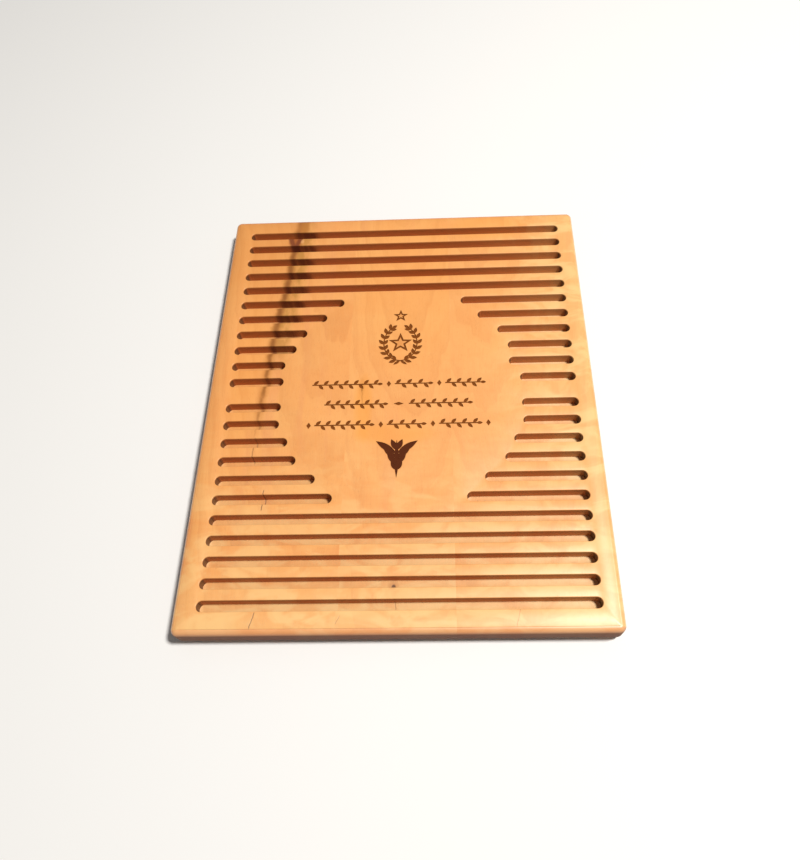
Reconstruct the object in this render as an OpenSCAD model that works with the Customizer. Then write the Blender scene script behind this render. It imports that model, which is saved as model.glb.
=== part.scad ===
// Coin-display award plaque: a slotted, engraved wooden board that lies flat
// on a desk. Three edge-glued staves, four rubber feet, and the washers and
// wood screws that hold the feet.
// Frame: origin on the resting surface under the middle of the board,
// +Z up, +Y towards the top edge of the plaque, +X to its right.

/* [Board] */
// Width of the board, left to right
board_w = 247.65; // [245:0.05:258]
// Length of the board, bottom edge to top edge
board_l = 304.8; // [303:0.1:320]
// Thickness of the board
board_t = 12.7; // [12:0.05:20]
// Radius of the rounded-over edge
edge_r = 3.18; // [2.5:0.01:3.8]
// Radius of the board's four corners, seen from above
corner_r = 4; // [4:0.1:6]
// Height of the small step between the flat face and the rounded edge
edge_step = 0.5; // [0.3:0.1:0.8]
// Distance of each glue joint from the middle of the board
joint_x = 33; // [30:0.5:34.5]

/* [Coin slots] */
// Distance from one row of slots to the next
row_pitch = 12.7; // [12.6:0.05:12.8]
// Extra distance across the middle of the board, between rows 11 and 12
middle_gap = 6.35; // [5:0.05:6.5]
// Width of a slot
slot_w = 6.35; // [5:0.05:7]
// Depth of a slot
slot_d = 7.6; // [6:0.1:8.5]
// Distance from the board's middle to the outer end of a slot
slot_out = 111.8; // [110:0.1:112.5]
// How far the whole slot pattern sits to the right of the board's middle
slot_shift = 0.8; // [0:0.1:1]
// Full-length rows at the top, and again at the bottom
full_rows = 5; // [3:1:5]

/* [Engraving] */
// Depth of the engraving
engrave_d = 0.5; // [0.3:0.1:0.8]
// Width of an engraved line
line_w = 0.8; // [0.6:0.05:1]

/* [Feet] */
// Height of a rubber foot
foot_h = 4.5; // [4.3:0.1:6]
// Largest diameter of a rubber foot, against the board
foot_dia = 16; // [14:0.5:18]
// Diameter of a foot where it meets the table
foot_tip_dia = 13.5; // [12.5:0.1:13.9]
// Distance of a foot's middle from the board's side edges
foot_in_x = 19; // [16:0.5:24]

/* [Foot screws] */
// Diameter of the screw's thread
screw_dia = 2.9; // [2.2:0.1:3]
// Length of thread in the wood
screw_bite = 7; // [5:0.1:7.5]
// Diameter of the screw's head
head_dia = 5.6; // [5:0.1:6]
// Height of the screw's head
head_h = 1.7; // [1.4:0.1:1.8]
// Outer diameter of the washer
washer_dia = 9; // [8:0.1:9.4]
// Thickness of the washer
washer_t = 0.8; // [0.5:0.1:0.9]

/* [Hidden] */
z0 = foot_h;                     // underside of the board
z1 = z0 + board_t;               // flat face
hw = board_w / 2;
hl = board_l / 2;
zs = z1 - edge_step - edge_r;    // where the rounded edge begins
first_y = 10 * row_pitch + (row_pitch + middle_gap) / 2; // middle of the top row
// Inner ends of the short slots, rows 6 to 11, from the pattern's middle;
// rows 12 to 17 mirror them.
inner = [40, 51.1, 63.8, 70, 76.4, 76.4];
rows = 22;
seat_z = 1.5;                    // rubber left under the washer
foot_x = hw - foot_in_x;
// The feet are under the land between the first two rows, so that their
// screws bite solid wood and not the bottom of a slot
foot_y = first_y - row_pitch / 2;
// Middles of the engraved motifs, up the board
emblem_y = 38.2;
line_y = [6.35, -8.6, -23.5];
spray_x = -1.2;
spray_y = -60.4;

// ---------- board blank ----------

module quarter() intersection() {
    circle(r = edge_r, $fn = 96);
    square(edge_r);
}

// Rounded edge along a side of length l, its round outwards to +X
module edge_bar(l) translate([0, l / 2, 0]) rotate([90, 0, 0])
    linear_extrude(l) quarter();

// Rounded corner, outwards to +X and +Y
module edge_corner() rotate_extrude(angle = 90, $fn = 96) {
    translate([corner_r - edge_r, 0]) quarter();
    square([corner_r - edge_r, edge_r]);
}

// The rounded edges of a pair of opposite sides
module side_pair(half_across, run) for (k = [0, 1]) mirror([k, 0, 0])
    translate([half_across - edge_r, 0, zs]) edge_bar(run);

module corner_pair() for (k = [0, 1]) mirror([k, 0, 0])
    translate([hw - corner_r, hl - corner_r, zs]) edge_corner();

// Outline of the board moved in by d
module plan(d) {
    square([board_w - 2 * d, board_l - 2 * corner_r], center = true);
    square([board_w - 2 * corner_r, board_l - 2 * d], center = true);
    for (sx = [-1, 1], sy = [-1, 1])
        translate([sx * (hw - corner_r), sy * (hl - corner_r)])
            circle(r = corner_r - d, $fn = 96);
}

module blank() {
    translate([0, 0, z0]) linear_extrude(zs - z0) plan(0);
    side_pair(hw, board_l - 2 * corner_r);
    rotate([0, 0, 90]) side_pair(hl, board_w - 2 * corner_r);
    corner_pair();
    mirror([0, 1, 0]) corner_pair();
    translate([0, 0, zs]) linear_extrude(z1 - zs) plan(edge_r);
}

// ---------- coin slots ----------

// One routed slot from xa to xb, round at both ends
module slot(xa, xb, y) translate([0, y, z1 - slot_d]) {
    r = slot_w / 2;
    translate([xa + r, -r, 0]) cube([xb - xa - slot_w, slot_w, slot_d + 1]);
    for (x = [xa + r, xb - r])
        translate([x, 0, 0]) cylinder(r = r, h = slot_d + 1, $fn = 64);
}

function row_y(k) = first_y - k * row_pitch - (k >= 11 ? middle_gap : 0);
function half_row(k) = k < 11 ? k : 21 - k;
function full(k) = half_row(k) < full_rows;
// The right slot of the tenth row runs as far in as the ninth's
function inner_right(k) = k == 9 ? inner[3] : inner[half_row(k) - 5];
function inner_left(k) = inner[half_row(k) - 5];

module full_slots() for (k = [0 : rows - 1]) if (full(k))
    slot(slot_shift - slot_out, slot_shift + slot_out, row_y(k));

module left_slots() for (k = [0 : rows - 1]) if (!full(k))
    slot(slot_shift - slot_out,
         slot_shift - inner_left(k < 11 ? max(k, 5) : min(k, 16)), row_y(k));

module right_slots() for (k = [0 : rows - 1]) if (!full(k))
    slot(slot_shift + inner_right(k < 11 ? max(k, 5) : min(k, 16)),
         slot_shift + slot_out, row_y(k));

// ---------- engraving ----------

// Pointed leaf from the origin along +X
module leaf(l, w) {
    n = 5;
    polygon(concat(
        [for (i = [0 : n]) [l * i / n, w / 2 * sin(180 * i / n)]],
        [for (i = [n - 1 : -1 : 1]) [l * i / n, -w / 2 * sin(180 * i / n)]]));
}

module star(r) polygon([for (i = [0 : 9])
    (i % 2 == 0 ? r : r * 0.42) * [sin(36 * i), cos(36 * i)]]);

// Straight sprig from xa to xb with leaves to both sides in turn
module sprig(xa, xb) {
    n = floor((xb - xa - 3.5) / 3.1);
    step = (xb - xa - 3.5) / n;
    translate([xa, -line_w / 2]) square([xb - xa - 2, line_w]);
    for (i = [0 : n - 1]) translate([xa + 0.8 + i * step, 0])
        rotate(i % 2 == 0 ? 46 : -46) leaf(4.6, 2.1);
    translate([xb - 3.8, 0]) leaf(3.8, 2.0);
}

module lozenge(w, h) polygon([[w / 2, 0], [0, h / 2], [-w / 2, 0], [0, -h / 2]]);

module engraved_lines() {
    translate([0, line_y[0]]) {
        sprig(-56.4, -10.8);
        translate([-7, 0]) lozenge(2.8, 4.4);
        sprig(-3.2, 21.7);
        translate([25.4, 0]) lozenge(2.8, 4.4);
        sprig(29.2, 55.3);
    }
    translate([0, line_y[1]]) {
        sprig(-47.7, -7);
        translate([-0.5, 0]) lozenge(6.4, 2.4);
        sprig(6, 46.6);
    }
    translate([0, line_y[2]]) {
        translate([-56.7, 0]) lozenge(2.8, 4.4);
        sprig(-53.1, -15.2);
        translate([-11.4, 0]) lozenge(2.8, 4.4);
        sprig(-7.6, 17.3);
        translate([21.1, 0]) lozenge(2.8, 4.4);
        sprig(24.9, 52);
        translate([55.5, 0]) lozenge(2.8, 4.4);
    }
}

// Laurel wreath: its stem is half an oval, with a leaf out and a leaf in
// every 18 degrees
wa = 11;
wb = 14.0;
function oval(t, k = 0) = [(wa + k) * cos(t), (wb + k) * sin(t)];
function oval_dir(t) = atan2(wb * cos(t), -wa * sin(t));
module wreath_half() {
    polygon(concat(
        [for (t = [-90 : 10 : 60]) oval(t, line_w / 2)],
        [for (t = [60 : -10 : -90]) oval(t, -line_w / 2)]));
    for (t = [-76 : 18 : 50]) translate(oval(t)) {
        rotate(oval_dir(t) - 38) leaf(5.2, 2.4);
        rotate(oval_dir(t) + 38) leaf(4.6, 2.2);
    }
    translate(oval(58)) rotate(oval_dir(58)) leaf(4.4, 2.2);
}

module emblem() translate([0, emblem_y]) {
    wreath_half();
    mirror([1, 0]) wreath_half();
    difference() {
        star(8.2);
        star(4.7);
    }
    translate([0, 22.4]) difference() {
        star(5.1);
        star(2.3);
    }
    // tied stems under the wreath
    for (s = [-1, 1]) translate([0, -wb]) rotate(s > 0 ? -35 : -145) leaf(5.4, 1.8);
}

// Spray of leaves on one stalk. Each row of leaf_pairs is the height on the
// stalk, the lean away from it, the length and the width of a pair of leaves.
leaf_pairs = [[5, 30, 7, 2.6], [9, 38, 9.5, 3.2], [13, 46, 12, 3.8],
              [16.5, 56, 15.5, 4.2], [18.5, 24, 8.5, 3.4]];
module spray() translate([spray_x, spray_y]) {
    rotate(90) leaf(26, 2.8);
    for (p = leaf_pairs, s = [-1, 1])
        translate([0, p[0]]) rotate(90 + s * p[1]) leaf(p[2], p[3]);
}

module engraving() translate([0, 0, z1 - engrave_d]) linear_extrude(2) {
    emblem();
    engraved_lines();
    spray();
}

// ---------- staves ----------

module pilot_holes(sx) for (sy = [-1, 1])
    translate([sx * foot_x, sy * foot_y, z0 - 1])
        cylinder(d = screw_dia, h = 1 + screw_bite + 0.2, $fn = 48);

module stave_left() color("#cf9a4e") difference() {
    intersection() {
        blank();
        translate([-hw - 1, -hl - 1, z0 - 1])
            cube([hw + 1 - joint_x, board_l + 2, board_t + 2]);
    }
    full_slots();
    left_slots();
    engraving();
    pilot_holes(-1);
}

module stave_center() color("#d6a258") difference() {
    intersection() {
        blank();
        translate([-joint_x, -hl - 1, z0 - 1])
            cube([2 * joint_x, board_l + 2, board_t + 2]);
    }
    full_slots();
    engraving();
}

module stave_right() color("#dcab62") difference() {
    intersection() {
        blank();
        translate([joint_x, -hl - 1, z0 - 1])
            cube([hw + 1 - joint_x, board_l + 2, board_t + 2]);
    }
    full_slots();
    right_slots();
    engraving();
    pilot_holes(1);
}

// ---------- feet and their fasteners ----------

module at_feet() for (sx = [-1, 1], sy = [-1, 1])
    translate([sx * foot_x, sy * foot_y, 0]) children();

// Turned section: solid seat against the board, a well for washer and head
module foot() color("#2b2a29") rotate_extrude($fn = 96) polygon([
    [screw_dia / 2 + 0.25, foot_h],
    [foot_dia / 2, foot_h],
    [foot_dia / 2, foot_h - 1.2],
    [foot_tip_dia / 2, 0],
    [washer_dia / 2 + 0.3, 0],
    [washer_dia / 2 + 0.3, foot_h - seat_z],
    [screw_dia / 2 + 0.25, foot_h - seat_z]]);

module foot_front_left() translate([-foot_x, -foot_y, 0]) foot();
module foot_front_right() translate([foot_x, -foot_y, 0]) foot();
module foot_rear_left() translate([-foot_x, foot_y, 0]) foot();
module foot_rear_right() translate([foot_x, foot_y, 0]) foot();

module foot_washers() color("#b9bcc0") at_feet()
    translate([0, 0, foot_h - seat_z - washer_t]) difference() {
        cylinder(d = washer_dia, h = washer_t, $fn = 64);
        translate([0, 0, -1]) cylinder(d = screw_dia + 0.5, h = washer_t + 2, $fn = 48);
    }

// Pan head, shank and pointed end, with a cross recess in the head
module foot_screws() color("#c9ccd1") at_feet() {
    hz = foot_h - seat_z - washer_t;
    difference() {
        rotate_extrude($fn = 64) polygon([
            [0, hz - head_h],
            [head_dia / 2 - 0.7, hz - head_h],
            [head_dia / 2, hz - head_h + 0.7],
            [head_dia / 2, hz],
            [screw_dia / 2, hz],
            [screw_dia / 2, z0 + screw_bite - 1.4],
            [0, z0 + screw_bite]]);
        for (a = [0, 90]) translate([0, 0, hz - head_h - 1]) rotate([0, 0, a])
            translate([-1.5, -0.35, 0]) cube([3, 0.7, 1.9]);
    }
}

stave_left();
stave_center();
stave_right();
foot_front_left();
foot_front_right();
foot_rear_left();
foot_rear_right();
foot_washers();
foot_screws();
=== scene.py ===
"""Coin-display award plaque: three edge-glued staves with routed slots and burnt
engraving, on four screwed rubber feet. Everything is in metres in the row frame;
the builders below work in millimetres and scale at the end."""
import math

import bmesh
import bpy
from mathutils import Matrix, Vector
from mathutils.geometry import delaunay_2d_cdt


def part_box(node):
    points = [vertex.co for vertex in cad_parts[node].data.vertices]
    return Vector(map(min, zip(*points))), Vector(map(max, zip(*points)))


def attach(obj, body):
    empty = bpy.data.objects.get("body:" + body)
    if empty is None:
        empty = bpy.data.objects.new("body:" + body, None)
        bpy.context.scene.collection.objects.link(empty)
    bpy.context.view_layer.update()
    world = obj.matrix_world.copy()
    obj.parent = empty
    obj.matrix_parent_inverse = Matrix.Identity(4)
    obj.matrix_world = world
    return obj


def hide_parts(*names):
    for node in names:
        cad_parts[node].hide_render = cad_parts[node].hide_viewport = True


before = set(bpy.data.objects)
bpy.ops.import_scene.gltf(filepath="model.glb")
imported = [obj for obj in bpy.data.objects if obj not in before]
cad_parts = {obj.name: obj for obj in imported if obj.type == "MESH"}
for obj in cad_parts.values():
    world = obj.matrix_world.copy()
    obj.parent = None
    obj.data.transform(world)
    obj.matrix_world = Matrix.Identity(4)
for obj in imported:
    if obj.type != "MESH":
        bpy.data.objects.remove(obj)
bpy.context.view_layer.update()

MM = 0.001
scene = bpy.context.scene

# ------------------------------------------------------------------ sizes (mm)
lo_l, hi_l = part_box("stave_left")
lo_c, hi_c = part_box("stave_center")
lo_r, hi_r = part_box("stave_right")
HW = hi_r.x * 1000
HL = hi_c.y * 1000
Z0 = lo_c.z * 1000
Z1 = hi_c.z * 1000
JX = hi_c.x * 1000
EDGE_R, STEP, CORNER_R = 3.18, 0.5, 4.0
ZS = Z1 - STEP - EDGE_R
PITCH, GAP, SLOT_W, SLOT_D = 12.7, 6.35, 6.35, 7.6
SLOT_OUT, SHIFT = 111.8, 0.8
INNER = [40, 51.1, 63.8, 70, 76.4, 76.4]
FIRST_Y = 10 * PITCH + (PITCH + GAP) / 2
ENGRAVE_D, LINE_W = 0.5, 0.8
EMBLEM_Y, SPRAY = 38.2, (-1.2, -60.4)
LINES_Y = [6.35, -8.6, -23.5]
foot_lo, foot_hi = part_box("foot_front_right")
FX = (foot_lo.x + foot_hi.x) * 500
FY = -(foot_lo.y + foot_hi.y) * 500


def row_y(k):
    return FIRST_Y - k * PITCH - (GAP if k >= 11 else 0)


SLOTS = []
for k in range(22):
    half = k if k < 11 else 21 - k
    if half < 5:
        SLOTS.append((SHIFT - SLOT_OUT, SHIFT + SLOT_OUT, row_y(k)))
    else:
        left = INNER[half - 5]
        right = INNER[3] if k == 9 else left
        SLOTS.append((SHIFT - SLOT_OUT, SHIFT - left, row_y(k)))
        SLOTS.append((SHIFT + right, SHIFT + SLOT_OUT, row_y(k)))

# ------------------------------------------------------------ flat outlines (mm)


def turn(points, a, at=(0.0, 0.0)):
    c, s = math.cos(math.radians(a)), math.sin(math.radians(a))
    return [(at[0] + x * c - y * s, at[1] + x * s + y * c) for x, y in points]


def leaf(length, width, at, a, grow=0.0, n=9):
    """Pointed leaf. grow widens it all round, for the scorched rim."""
    pts = []
    length_, width_ = length + 2 * grow, width + 2 * grow
    for i in range(n + 1):
        pts.append((length_ * i / n - grow, -width_ / 2 * math.sin(math.pi * i / n)))
    for i in range(n - 1, 0, -1):
        pts.append((length_ * i / n - grow, width_ / 2 * math.sin(math.pi * i / n)))
    return turn(pts, a, at)


def star(r, at, grow=0.0, k=0.42):
    out = []
    for i in range(10):
        rad = (r if i % 2 == 0 else r * k) + grow * (1.6 if i % 2 == 0 else 1.0)
        a = math.radians(36 * i)
        out.append((at[0] + rad * math.sin(a), at[1] + rad * math.cos(a)))
    return out[::-1]


def rect(xa, xb, ya, yb):
    return [(xa, ya), (xb, ya), (xb, yb), (xa, yb)]


def lozenge(w, h, at, grow=0.0):
    a, b = w / 2 + grow * 1.3, h / 2 + grow * 1.3
    return [(at[0] + a, at[1]), (at[0], at[1] + b), (at[0] - a, at[1]), (at[0], at[1] - b)]


RIM = 0.75  # width of the scorched rim round an engraved line
CUTS = []  # (outline, burn)
HALOS = []  # outline
HOLES_IN_CUTS = []  # islands of plain face left standing inside a cut


def cut(points, burn, halo=None):
    CUTS.append((points, burn))
    if halo:
        HALOS.append(halo)


def add_leaf(length, width, at, a, burn, rim=RIM):
    cut(leaf(length, width, at, a), burn, leaf(length, width, at, a, rim))


def sprig(xa, xb, y, burn=0.62):
    n = int((xb - xa - 3.5) // 3.1)
    step = (xb - xa - 3.5) / n
    cut(rect(xa, xb - 2, y - LINE_W / 2, y + LINE_W / 2), burn,
        rect(xa - RIM, xb - 2 + RIM, y - LINE_W / 2 - RIM, y + LINE_W / 2 + RIM))
    for i in range(n):
        add_leaf(4.6, 2.1, (xa + 0.8 + i * step, y), 46 if i % 2 == 0 else -46, burn)
    add_leaf(3.8, 2.0, (xb - 3.8, y), 0, burn)


def gem(w, h, x, y, burn=0.62):
    cut(lozenge(w, h, (x, y)), burn, lozenge(w, h, (x, y), RIM))


y = LINES_Y[0]
sprig(-56.4, -10.8, y)
gem(2.8, 4.4, -7, y)
sprig(-3.2, 21.7, y)
gem(2.8, 4.4, 25.4, y)
sprig(29.2, 55.3, y)
y = LINES_Y[1]
sprig(-47.7, -7, y)
gem(6.4, 2.4, -0.5, y)
sprig(6, 46.6, y)
y = LINES_Y[2]
gem(2.8, 4.4, -56.7, y)
sprig(-53.1, -15.2, y)
gem(2.8, 4.4, -11.4, y)
sprig(-7.6, 17.3, y)
gem(2.8, 4.4, 21.1, y)
sprig(24.9, 52, y)
gem(2.8, 4.4, 55.5, y)

WA, WB = 11.0, 14.0


def oval(t, k=0.0):
    t = math.radians(t)
    return ((WA + k) * math.cos(t), EMBLEM_Y + (WB + k) * math.sin(t))


def oval_dir(t):
    t = math.radians(t)
    return math.degrees(math.atan2(WB * math.cos(t), -WA * math.sin(t)))


def flip(points):
    return [(-x, y) for x, y in reversed(points)]


EMB = 0.68
for side in (0, 1):
    f = flip if side else (lambda p: p)
    ts = list(range(-94, 61, 7))
    stem = [oval(t, LINE_W / 2) for t in ts] + [oval(t, -LINE_W / 2) for t in reversed(ts)]
    rim = [oval(t, LINE_W / 2 + RIM) for t in ts] + [oval(t, -LINE_W / 2 - RIM) for t in reversed(ts)]
    cut(f(stem), EMB, f(rim))
    for t in range(-76, 51, 18):
        p, d = oval(t), oval_dir(t)
        for a, length, width in ((d - 38, 5.2, 2.4), (d + 38, 4.6, 2.2)):
            cut(f(leaf(length, width, p, a)), EMB, f(leaf(length, width, p, a, RIM)))
    p, d = oval(58), oval_dir(58)
    cut(f(leaf(4.4, 2.2, p, d)), EMB, f(leaf(4.4, 2.2, p, d, RIM)))
for a in (-35, -145):
    add_leaf(5.4, 1.8, (0, EMBLEM_Y - WB), a, EMB)
for r_out, r_in, up in ((8.2, 4.7, 0.0), (5.1, 2.3, 22.4)):
    cut(star(r_out, (0, EMBLEM_Y + up)), EMB, star(r_out, (0, EMBLEM_Y + up), RIM))
    HOLES_IN_CUTS.append(star(r_in, (0, EMBLEM_Y + up)))

# spray of leaves on one stalk: (height on the stalk, lean, length, width)
add_leaf(26.0, 2.8, SPRAY, 90, 1.0)
for up, lean, length, width in ((5, 30, 7, 2.6), (9, 38, 9.5, 3.2), (13, 46, 12, 3.8), (16.5, 56, 15.5, 4.2),
                                (18.5, 24, 8.5, 3.4)):
    for s in (-1, 1):
        add_leaf(length, width, (SPRAY[0], SPRAY[1] + up), 90 + s * lean, 1.0)

# ------------------------------------------------------------- board as one mesh
EASE = 0.35  # sanded rim of a slot


def stadium(xa, xb, y, grow, n=14):
    """Outline of a slot: its true outline moved out by grow."""
    r = SLOT_W / 2
    ca, cb = xa + r, xb - r
    out = []
    for i in range(n + 1):
        a = math.radians(-90 + 180 * i / n)
        out.append((cb + (r + grow) * math.cos(a), y + (r + grow) * math.sin(a)))
    for i in range(n + 1):
        a = math.radians(90 + 180 * i / n)
        out.append((ca + (r + grow) * math.cos(a), y + (r + grow) * math.sin(a)))
    return out


def plan_loop(inset, n=10):
    """Board outline moved in by inset."""
    r = CORNER_R - inset
    out = []
    for sx, sy, a0 in ((1, -1, -90), (1, 1, 0), (-1, 1, 90), (-1, -1, 180)):
        for i in range(n + 1):
            a = math.radians(a0 + 90 * i / n)
            out.append((sx * (HW - CORNER_R) + r * math.cos(a), sy * (HL - CORNER_R) + r * math.sin(a)))
    return out


class Mesh:
    def __init__(self):
        self.bm = bmesh.new()
        self.scorch = self.bm.verts.layers.float.new("scorch")
        self.seen = {}

    def vert(self, x, y, z, scorch=0.0):
        key = (round(x, 3), round(y, 3), round(z, 3))
        v = self.seen.get(key)
        if v is None:
            v = self.bm.verts.new((x, y, z))
            self.seen[key] = v
        v[self.scorch] = max(v[self.scorch], scorch)
        return v

    def face(self, vs, mat=0, smooth=False):
        clean = []
        for v in vs:
            if v not in clean:
                clean.append(v)
        if len(clean) < 3:
            return None
        try:
            f = self.bm.faces.new(clean)
        except ValueError:
            return None
        f.material_index, f.smooth = mat, smooth
        return f

    def rings(self, loops, mat=0, smooth=True, scorch=0.0):
        """Joins closed loops of (x, y, z), each anticlockwise from above, top first."""
        rows = [[self.vert(*p, scorch) for p in loop] for loop in loops]
        for a, b in zip(rows, rows[1:]):
            n = len(a)
            for i in range(n):
                j = (i + 1) % n
                self.face([a[i], b[i], b[j], a[j]], mat, smooth)


def lift(loop, z):
    return [(x, y, z) for x, y in loop]


def board_mesh():
    m = Mesh()
    # flat face: one constrained triangulation of everything cut into it
    face_in = EDGE_R + 0.10
    verts, faces, kinds = [], [], []

    def put(points, kind):
        base = len(verts)
        verts.extend(Vector(p) for p in points)
        faces.append(list(range(base, base + len(points))))
        kinds.append(kind)

    put(plan_loop(face_in), ("face", 0))
    for xa, xb, yy in SLOTS:
        put(stadium(xa, xb, yy, EASE), ("slot", 0))
    for pts, burn in CUTS:
        put(pts, ("cut", burn))
    for pts in HOLES_IN_CUTS:
        put(pts, ("island", 0))
    for pts in HALOS:
        put(pts, ("halo", 0))
    vs, es, fs, ov, oe, of_ = delaunay_2d_cdt(verts, [], faces, 1, 0.01)
    state = []
    for f, src in zip(fs, of_):
        names = {kinds[i][0] for i in src}
        if "face" not in names or "slot" in names:
            state.append(None)
        elif "cut" in names and "island" not in names:
            state.append(max(kinds[i][1] for i in src if kinds[i][0] == "cut"))
        else:
            state.append(0.0)
    # scorch: full on an engraved edge, fading to nothing on the halo's outline
    scorch = [0.0] * len(vs)
    edge_of = {}
    for fi, f in enumerate(fs):
        for i in range(len(f)):
            edge_of.setdefault(frozenset((f[i], f[(i + 1) % len(f)])), []).append(fi)
    for fi, f in enumerate(fs):
        if state[fi]:
            for v in f:
                scorch[v] = max(scorch[v], state[fi])
    for fi, f in enumerate(fs):
        if state[fi] is None:
            continue
        z = Z1 - (ENGRAVE_D if state[fi] else 0.0)
        mat = 1 if state[fi] else 0
        m.face([m.vert(vs[v].x, vs[v].y, z, scorch[v]) for v in f], mat)
    for edge, both in edge_of.items():
        if len(both) != 2:
            continue
        a, b = both
        sa, sb = state[a] or 0.0, state[b] or 0.0
        if bool(sa) == bool(sb):
            continue
        low = a if sa else b
        f = fs[low]
        for i in range(len(f)):
            p, q = f[i], f[(i + 1) % len(f)]
            if frozenset((p, q)) == edge:
                s = max(scorch[p], scorch[q])
                m.face([m.vert(vs[q].x, vs[q].y, Z1 - ENGRAVE_D, s),
                        m.vert(vs[p].x, vs[p].y, Z1 - ENGRAVE_D, s),
                        m.vert(vs[p].x, vs[p].y, Z1, s),
                        m.vert(vs[q].x, vs[q].y, Z1, s)], 1)
    # slots: eased rim, wall, small fillet, floor
    zf = Z1 - SLOT_D
    for xa, xb, yy in SLOTS:
        loops = []
        for t in (0, 22.5, 45, 67.5, 90):
            t = math.radians(t)
            loops.append(lift(stadium(xa, xb, yy, EASE * (1 - math.sin(t))), Z1 - EASE * (1 - math.cos(t))))
        for t in (0, 45, 90):
            t = math.radians(t)
            loops.append(lift(stadium(xa, xb, yy, -0.3 * (1 - math.cos(t))), zf + 0.3 * (1 - math.sin(t))))
        m.rings([loop[::-1] for loop in loops])
        floor = [m.vert(*p) for p in loops[-1]]
        n = len(floor) // 2
        # a strip of quads across the floor, from end to end
        right, left_ = floor[:n], floor[n:]
        for i in range(n // 2):
            m.face([right[i], right[i + 1], right[n - 2 - i], right[n - 1 - i]])
            m.face([left_[i], left_[i + 1], left_[n - 2 - i], left_[n - 1 - i]])
        m.face([right[0], right[n - 1], left_[0], left_[n - 1]])
    # edge: small step, quarter round, side, broken bottom edge
    loops = [lift(plan_loop(face_in), Z1), lift(plan_loop(EDGE_R + 0.03), Z1 - 0.03),
             lift(plan_loop(EDGE_R), Z1 - 0.10), lift(plan_loop(EDGE_R), Z1 - STEP + 0.06),
             lift(plan_loop(EDGE_R - 0.06), Z1 - STEP)]
    for i in range(1, 15):
        t = math.radians(90 * i / 14)
        loops.append(lift(plan_loop(EDGE_R * (1 - math.sin(t))), ZS + EDGE_R * math.cos(t)))
    loops.append(lift(plan_loop(0.0), Z0 + 0.6))
    for t in (30, 60, 90):
        t = math.radians(t)
        loops.append(lift(plan_loop(0.6 * (1 - math.cos(t))), Z0 + 0.6 * (1 - math.sin(t))))
    m.rings(loops)
    # underside with the four pilot holes
    verts, faces = [], []
    base = loops[-1]
    verts.extend(Vector((x, y)) for x, y, z in base)
    faces.append(list(range(len(base))))
    pilots = []
    for sx in (-1, 1):
        for sy in (-1, 1):
            ring = [(sx * FX + 1.45 * math.cos(math.tau * i / 24), sy * FY + 1.45 * math.sin(math.tau * i / 24)) for i in range(24)]
            pilots.append(ring)
            s = len(verts)
            verts.extend(Vector(p) for p in ring)
            faces.append(list(range(s, s + 24)))
    vs, es, fs, ov, oe, of_ = delaunay_2d_cdt(verts, [], faces, 1, 1e-4)
    for f, src in zip(fs, of_):
        if len(src) == 1 and src[0] == 0:
            m.face([m.vert(vs[v].x, vs[v].y, Z0) for v in reversed(f)])
    for ring in pilots:
        m.rings([lift(ring, Z0), lift(ring, Z0 + 7.2)])
        m.face([m.vert(x, y, Z0 + 7.2) for x, y in ring][::-1])
    bmesh.ops.remove_doubles(m.bm, verts=m.bm.verts, dist=0.002)
    bmesh.ops.recalc_face_normals(m.bm, faces=m.bm.faces)
    return m


def finish_mesh(bm, name, angle=30):
    bm.transform(Matrix.Scale(MM, 4))
    me = bpy.data.meshes.new(name)
    bm.to_mesh(me)
    me.set_sharp_from_angle(angle=math.radians(angle))
    ob = bpy.data.objects.new(name, me)
    scene.collection.objects.link(ob)
    return ob


def stave(board, name, cuts):
    """One stave: the board's mesh cut off at each (x, side) plane, the cut closed."""
    bm = board.copy()
    for x, keep_left in cuts:
        geom = list(bm.verts) + list(bm.edges) + list(bm.faces)
        out = bmesh.ops.bisect_plane(bm, geom=geom, dist=1e-6, plane_co=(x, 0, 0), plane_no=(1, 0, 0),
                                     clear_outer=keep_left, clear_inner=not keep_left)
        rim = [e for e in bm.edges if len(e.link_faces) == 1 and all(abs(v.co.x - x) < 1e-4 for v in e.verts)]
        made = bmesh.ops.contextual_create(bm, geom=rim)
        for f in made["faces"]:
            f.smooth, f.material_index = False, 0
    bmesh.ops.recalc_face_normals(bm, faces=bm.faces)
    loose = [e for e in bm.edges if len(e.link_faces) != 2]
    print(name, "verts", len(bm.verts), "faces", len(bm.faces), "open or extra edges", len(loose))
    ob = finish_mesh(bm, name)
    bm.free()
    return ob


whole = board_mesh()
STAVES = {
    "left": stave(whole.bm, "stave_left_wood", [(-JX, True)]),
    "center": stave(whole.bm, "stave_center_wood", [(-JX, False), (JX, True)]),
    "right": stave(whole.bm, "stave_right_wood", [(JX, False)]),
}
whole.bm.free()

# ------------------------------------------------------------- feet and fasteners


def lathe(bm, profile, at=(0.0, 0.0), n=96, smooth=True, close=True):
    """Turns a closed (r, z) profile about the vertical line through at."""
    rings = []
    for r, z in profile:
        if r < 1e-6:
            rings.append([bm.verts.new((at[0], at[1], z))])
        else:
            rings.append([bm.verts.new((at[0] + r * math.cos(math.tau * i / n),
                                        at[1] + r * math.sin(math.tau * i / n), z)) for i in range(n)])
    pairs = list(zip(rings, rings[1:]))
    if close:
        pairs.append((rings[-1], rings[0]))
    for a, b in pairs:
        for i in range(n):
            j = (i + 1) % n
            vs = [a[i % len(a)], a[j % len(a)], b[j % len(b)], b[i % len(b)]]
            clean = []
            for v in vs:
                if v not in clean:
                    clean.append(v)
            if len(clean) > 2:
                bm.faces.new(clean).smooth = smooth


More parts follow.
